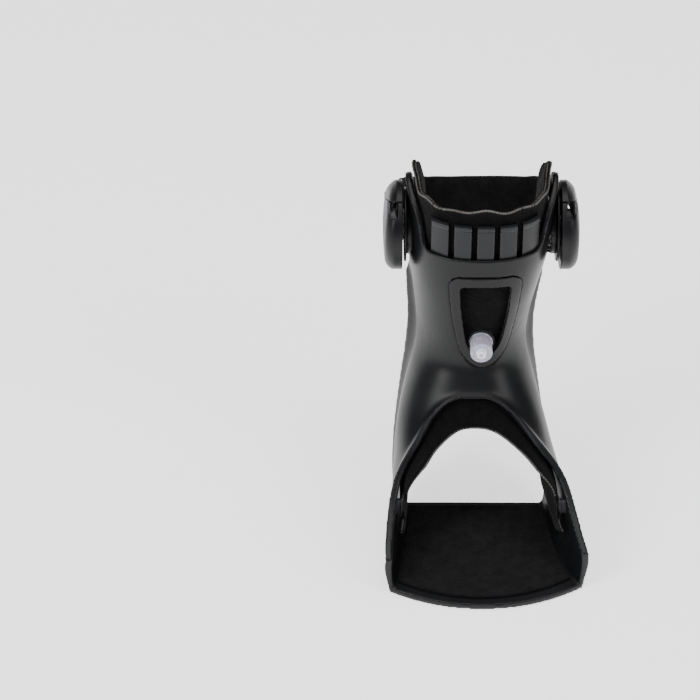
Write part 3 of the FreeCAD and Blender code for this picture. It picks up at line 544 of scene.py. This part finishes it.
def rim_points(work):
    """Points along the free edges of an open mesh."""
    found = []
    for edge in work.edges:
        if len(edge.link_faces) == 1:
            found += along(edge)
    return found


def by_window(point):
    """Whether a point belongs to the window in the shin."""
    return abs(point.x) < 26 * MM and point.y < 66 * MM and 80 * MM < point.z < 150 * MM


def by_hub(point, reach):
    """Whether a point is within reach of the buckles' axis."""
    return math.hypot(point.y - HUB.y, point.z - HUB.z) < reach


def shell_rims(work):
    """The shell's long free edges: the two rear edges, and the instep opening's rim."""
    rear, front = [], []
    for point in rim_points(work):
        if by_window(point) or by_hub(point, 17 * MM) or point.z < 4 * MM:
            continue
        if point.z < 151 * MM and point.y > 40 * MM:
            rear.append(point)
        elif point.y < 45 * MM and point.z < 90 * MM:
            front.append(point)
    return rear, front


def flare(points, rear, front):
    """How far the rims roll outwards, with a shallow flute before the rear edges."""
    fade = smoothstep(23 * MM, 32 * MM, np.hypot(points[:, 1] - HUB.y, points[:, 2] - HUB.z))
    fade = fade * smoothstep(4 * MM, 16 * MM, points[:, 2])
    back = nearest_distance(points, rear)
    ahead = nearest_distance(points, front)
    roll = ROLL * bell(back, ROLL_WIDTH)
    flute = FLUTE * bell(back - FLUTE_PLACE, FLUTE_WIDTH)
    lip = LIP * bell(ahead, LIP_WIDTH)
    return fade * (roll - flute + lip), np.minimum(back, ahead)


def island_sizes(work):
    """For each vertex, how many vertices hang together with it."""
    counts = [0] * len(work.verts)
    work.verts.index_update()
    seen = set()
    for first in work.verts:
        if first.index in seen:
            continue
        seen.add(first.index)
        queue, group = [first], []
        while queue:
            vert = queue.pop()
            group.append(vert.index)
            for edge in vert.link_edges:
                other = edge.other_vert(vert)
                if other.index not in seen:
                    seen.add(other.index)
                    queue.append(other)
        for index in group:
            counts[index] = len(group)
    return np.array(counts)


def add_wall(obj, thickness):
    """Gives an open skin a wall on its inner side."""
    wall = obj.modifiers.new("wall", "SOLIDIFY")
    wall.thickness = thickness
    wall.offset = -1
    wall.use_even_offset = True
    return wall


SHELL_SKIN = outer_skin("shell")
REAR_RIM, FRONT_RIM = shell_rims(SHELL_SKIN)
ISLANDS = island_sizes(SHELL_SKIN)


def make_shell():
    """The moulded shell: its outer skin given a wall, with rolled and rounded rims."""
    mesh = bpy.data.meshes.new("shell_moulding")
    SHELL_SKIN.to_mesh(mesh)
    shell = new_object("shell_moulding", mesh)
    points = coords(mesh)
    thin = (points[:, 2] > COLLAR_LOW) & (np.abs(points[:, 0]) < 30 * MM) & (
        points[:, 1] < LEG_Y - 26 * MM)
    seat = (ISLANDS < ISLANDS.max()) & np.array([by_window(vert.co) for vert in mesh.vertices])
    group = shell.vertex_groups.new(name="wall")
    for index in range(len(points)):
        group.add([index], 0.5 if thin[index] or seat[index] else 1.0, "REPLACE")
    wall = add_wall(shell, WALL)
    wall.vertex_group = "wall"
    wall.thickness_vertex_group = 0
    apply_modifiers(shell)
    voxel(shell, 0.75 * MM)
    relax(shell.data, 5)
    points = coords(shell.data)
    lift, distance = flare(points, REAR_RIM, FRONT_RIM)
    set_coords(shell.data, points + from_spine(points) * lift[:, None])
    relax(shell.data, 8)
    shade_smooth(shell)
    # the rim mask drives wear and a painted highlight along the shell's rims
    paint(shell, "rim", bell(distance, 1.8 * MM))
    finish_piece(shell, "shell", "shell_plastic", SHELL_PLASTIC, "shell")


make_shell()


# ---------------------------------------------------------------- hard trim
def make_hard(name, node, size, passes, slot, finish, body="shell", shape=None):
    """A rounded copy of one CAD node, with its sharp edges marked for the rims' wear and painted
    highlight.
    """
    piece = moulded(name, node, size, passes)
    points = coords(piece.data)
    distance = nearest_distance(points, sharp_points(node) or [Vector((9, 9, 9))])
    # the rim mask drives wear and a painted highlight along the sharp edges
    paint(piece, "rim", bell(distance, 0.7 * MM))
    if shape is not None:
        set_coords(piece.data, shape(points))
    finish_piece(piece, body, slot, finish, node)


def domed(points):
    """Rounds the buckle's outer face off, most of all towards its top."""
    up = (points[:, 2] - HUB.z) / BUCKLE_RADIUS
    back = (points[:, 1] - HUB.y) / BUCKLE_RADIUS
    outer = smoothstep(41 * MM, 50.5 * MM, np.abs(points[:, 0]))
    fall = 1.6 * MM * (up ** 2 + back ** 2) + 3.4 * MM * np.clip(up, 0, 1) ** 2.5
    moved = points.copy()
    moved[:, 0] -= np.sign(points[:, 0]) * fall * outer
    return moved


make_hard("collar_moulding", "finger_collar", 0.38 * MM, 3, "collar_plastic", COLLAR_PLASTIC)
make_hard("bezel_moulding", "window_bezel", 0.34 * MM, 3, "bezel_plastic", BEZEL_PLASTIC)
make_hard("flange_moulding", "valve_flange", 0.2 * MM, 3, "valve_rubber", RUBBER)
make_hard("valve_tube", "valve_body", 0.16 * MM, 4, "valve_clear", CLEAR)
make_hard("valve_button_cap", "valve_plunger", 0.14 * MM, 3, "valve_white", WHITE,
          "valve_button")
for side in SIDES:
    make_hard("clip_" + side, "liner_clip_" + side, 0.22 * MM, 2, "clip_plastic", CLIP_PLASTIC)
    make_hard("plate_" + side, "hub_plate_" + side, 0.28 * MM, 2, "hub_plastic",
              BUCKLE_PLASTIC)
    make_hard("buckle_" + side, "buckle_body_" + side, 0.36 * MM, 3, "buckle_plastic",
              BUCKLE_PLASTIC, "calf_frame", domed)
    make_hard("lever_" + side, "release_lever_" + side, 0.32 * MM, 3, "buckle_plastic",
              BUCKLE_PLASTIC, "lever_" + side, domed)
    make_hard("tongue_" + side, "strap_tongue_" + side, 0.26 * MM, 2, "tongue_plastic",
              TONGUE_PLASTIC, "calf_band")
    make_hard("rivets_" + side, "strap_rivets_" + side, 0.2 * MM, 3, "rivet_steel",
              BLACK_STEEL, "calf_band")


# ---------------------------------------------------------------- soft goods
def make_liner(name, node, seed, lean_low, lean_high, drop, shade):
    """A fabric layer of the liner: its cut edges wave and lean towards the wearer."""
    work = outer_skin(node)
    rims = [point for point in rim_points(work)
            if not (by_window(point) and math.hypot(point.x, point.z - VALVE.z) < 9 * MM)
            and not (abs(point.y - 6 * MM) < 5 * MM and abs(point.z - 29 * MM) < 8 * MM)]
    mesh = bpy.data.meshes.new(name)
    work.to_mesh(mesh)
    work.free()
    layer = new_object(name, mesh)
    add_wall(layer, FABRIC)
    apply_modifiers(layer)
    voxel(layer, 0.62 * MM)
    relax(layer.data, 2)
    points = coords(layer.data)
    lift, _ = flare(points, REAR_RIM, FRONT_RIM)
    points += from_spine(points) * (lift * 0.6)[:, None]
    distance = nearest_distance(points, rims)
    high = smoothstep(150 * MM, 165 * MM, points[:, 2])
    front = smoothstep(LEG_Y - 22 * MM, LEG_Y - 45 * MM, points[:, 1]) * (
        1 - smoothstep(85 * MM, 95 * MM, points[:, 2]))
    near_top = bell((LINER_TOP - 6 * MM - points[:, 2]).clip(0), 9 * MM) * high
    near_low = bell(distance, 8 * MM) * front
    around = np.arctan2(points[:, 0], LEG_Y - points[:, 1] + 4 * MM)
    scallop = np.sin(around * 15 + 1) * 0.6 + np.sin(around * 9 + 2) * 0.4
    ripple = waves(points, seed, 7 * MM, 4)
    fold = waves(points, seed + 7, 5 * MM, 4)
    lean = near_top * (lean_high + 0.35 * MM * scallop) + near_low * (
        lean_low * (1 + 0.35 * ripple))
    lean += 0.15 * MM * fold * smoothstep(1 * MM, 5 * MM, distance)
    points -= from_spine(points) * lean[:, None]
    edge_top = bell(distance, 5 * MM) * high
    points[:, 2] += edge_top * (0.9 * MM * scallop - drop)
    points[:, 2] += near_low * 1.6 * MM * ripple
    points[:, 1] -= near_low * 0.8 * MM * fold
    set_coords(layer.data, points)
    relax(layer.data, 2)
    shade_smooth(layer)
    # marks the cut edges for the painted highlight
    paint(layer, "cut", bell(distance, 0.9 * MM))
    finish_piece(layer, "shell", "liner_fabric", shade, node)


def make_padding(name, node, body, slot, shade, inset, cap, seed, cell, puffed=True):
    """A cushion blown up by cloth pressure from a slightly smaller copy of the CAD pad."""
    piece = welded_copy(name, node)
    voxel(piece, cell)
    relax(piece.data, 2)
    points = coords(piece.data)
    set_coords(piece.data, points - normals(piece.data) * inset)
    start = coords(piece.data)
    if puffed:
        cloth = piece.modifiers.new("cloth", "CLOTH")
        cloth.settings.use_pressure = True
        cloth.settings.uniform_pressure_force = 4
        cloth.settings.quality = 5
        cloth.settings.mass = 0.15
        cloth.settings.effector_weights.gravity = 0
        cloth.settings.tension_stiffness = 12
        cloth.settings.compression_stiffness = 12
        cloth.settings.bending_stiffness = 0.4
        scene = bpy.context.scene
        for number in range(1, CLOTH_FRAMES + 1):
            scene.frame_set(number)
        apply_modifiers(piece)
        scene.frame_set(1)
    moved = coords(piece.data)
    shift = moved - start
    length = np.linalg.norm(shift, axis=1)[:, None].clip(1e-9)
    set_coords(piece.data, start + shift * np.minimum(1, cap / length))
    smooth = piece.modifiers.new("smooth", "SUBSURF")
    smooth.levels = 2 if puffed else 1
    apply_modifiers(piece)
    points = coords(piece.data)
    ripple = waves(points, seed, 6 * MM) * (0.25 if puffed else 0.06) * MM
    set_coords(piece.data, points + normals(piece.data) * ripple[:, None])
    shade_smooth(piece)
    paint(piece, "cut", np.zeros(len(points)))
    finish_piece(piece, body, slot, shade, node)


def make_strap():
    """The webbing: thin selvedges, a slightly domed back and a woven face."""
    strap = moulded("strap_tape", "calf_strap", 0.45 * MM, 4)
    points = coords(strap.data)
    ripple = waves(points, 3, 9 * MM) * 0.2 * MM
    set_coords(strap.data, points + normals(strap.data) * ripple[:, None])
    finish_piece(strap, "calf_band", "strap_webbing", TAPE, "calf_strap")


make_liner("liner_outer", "liner_face", 1, 2.6 * MM, 1.0 * MM, 0, LINER)
make_liner("liner_inner", "liner_back", 4, 0, -1.2 * MM, 1.2 * MM, LINER)
make_padding("calf_cushion", "calf_pad", "calf_band", "pad_fabric", PAD, 0.8 * MM, 1.4 * MM,
             5, 2.6 * MM)
make_padding("sole_cushion", "sole_pad", "shell", "sole_foam", FOAM, 0, 0, 6, 0.8 * MM,
             puffed=False)
make_strap()

# ---------------------------------------------------------------- CAD nodes that are kept
KEPT = {
    "air_bladder": BLADDER, "valve_seat": RUBBER, "valve_spring": STEEL,
    "hub_washer_lateral": NYLON, "hub_washer_medial": NYLON,
    "hub_rivet_lateral": BLACK_STEEL, "hub_rivet_medial": BLACK_STEEL,
    "lever_pin_lateral": BLACK_STEEL, "lever_pin_medial": BLACK_STEEL,
    "lever_spring_lateral": STEEL, "lever_spring_medial": STEEL,
}
for kept_name, finish in KEPT.items():
    kept = NODES[kept_name]
    kept.data.materials.clear()
    kept.data.materials.append(finish)
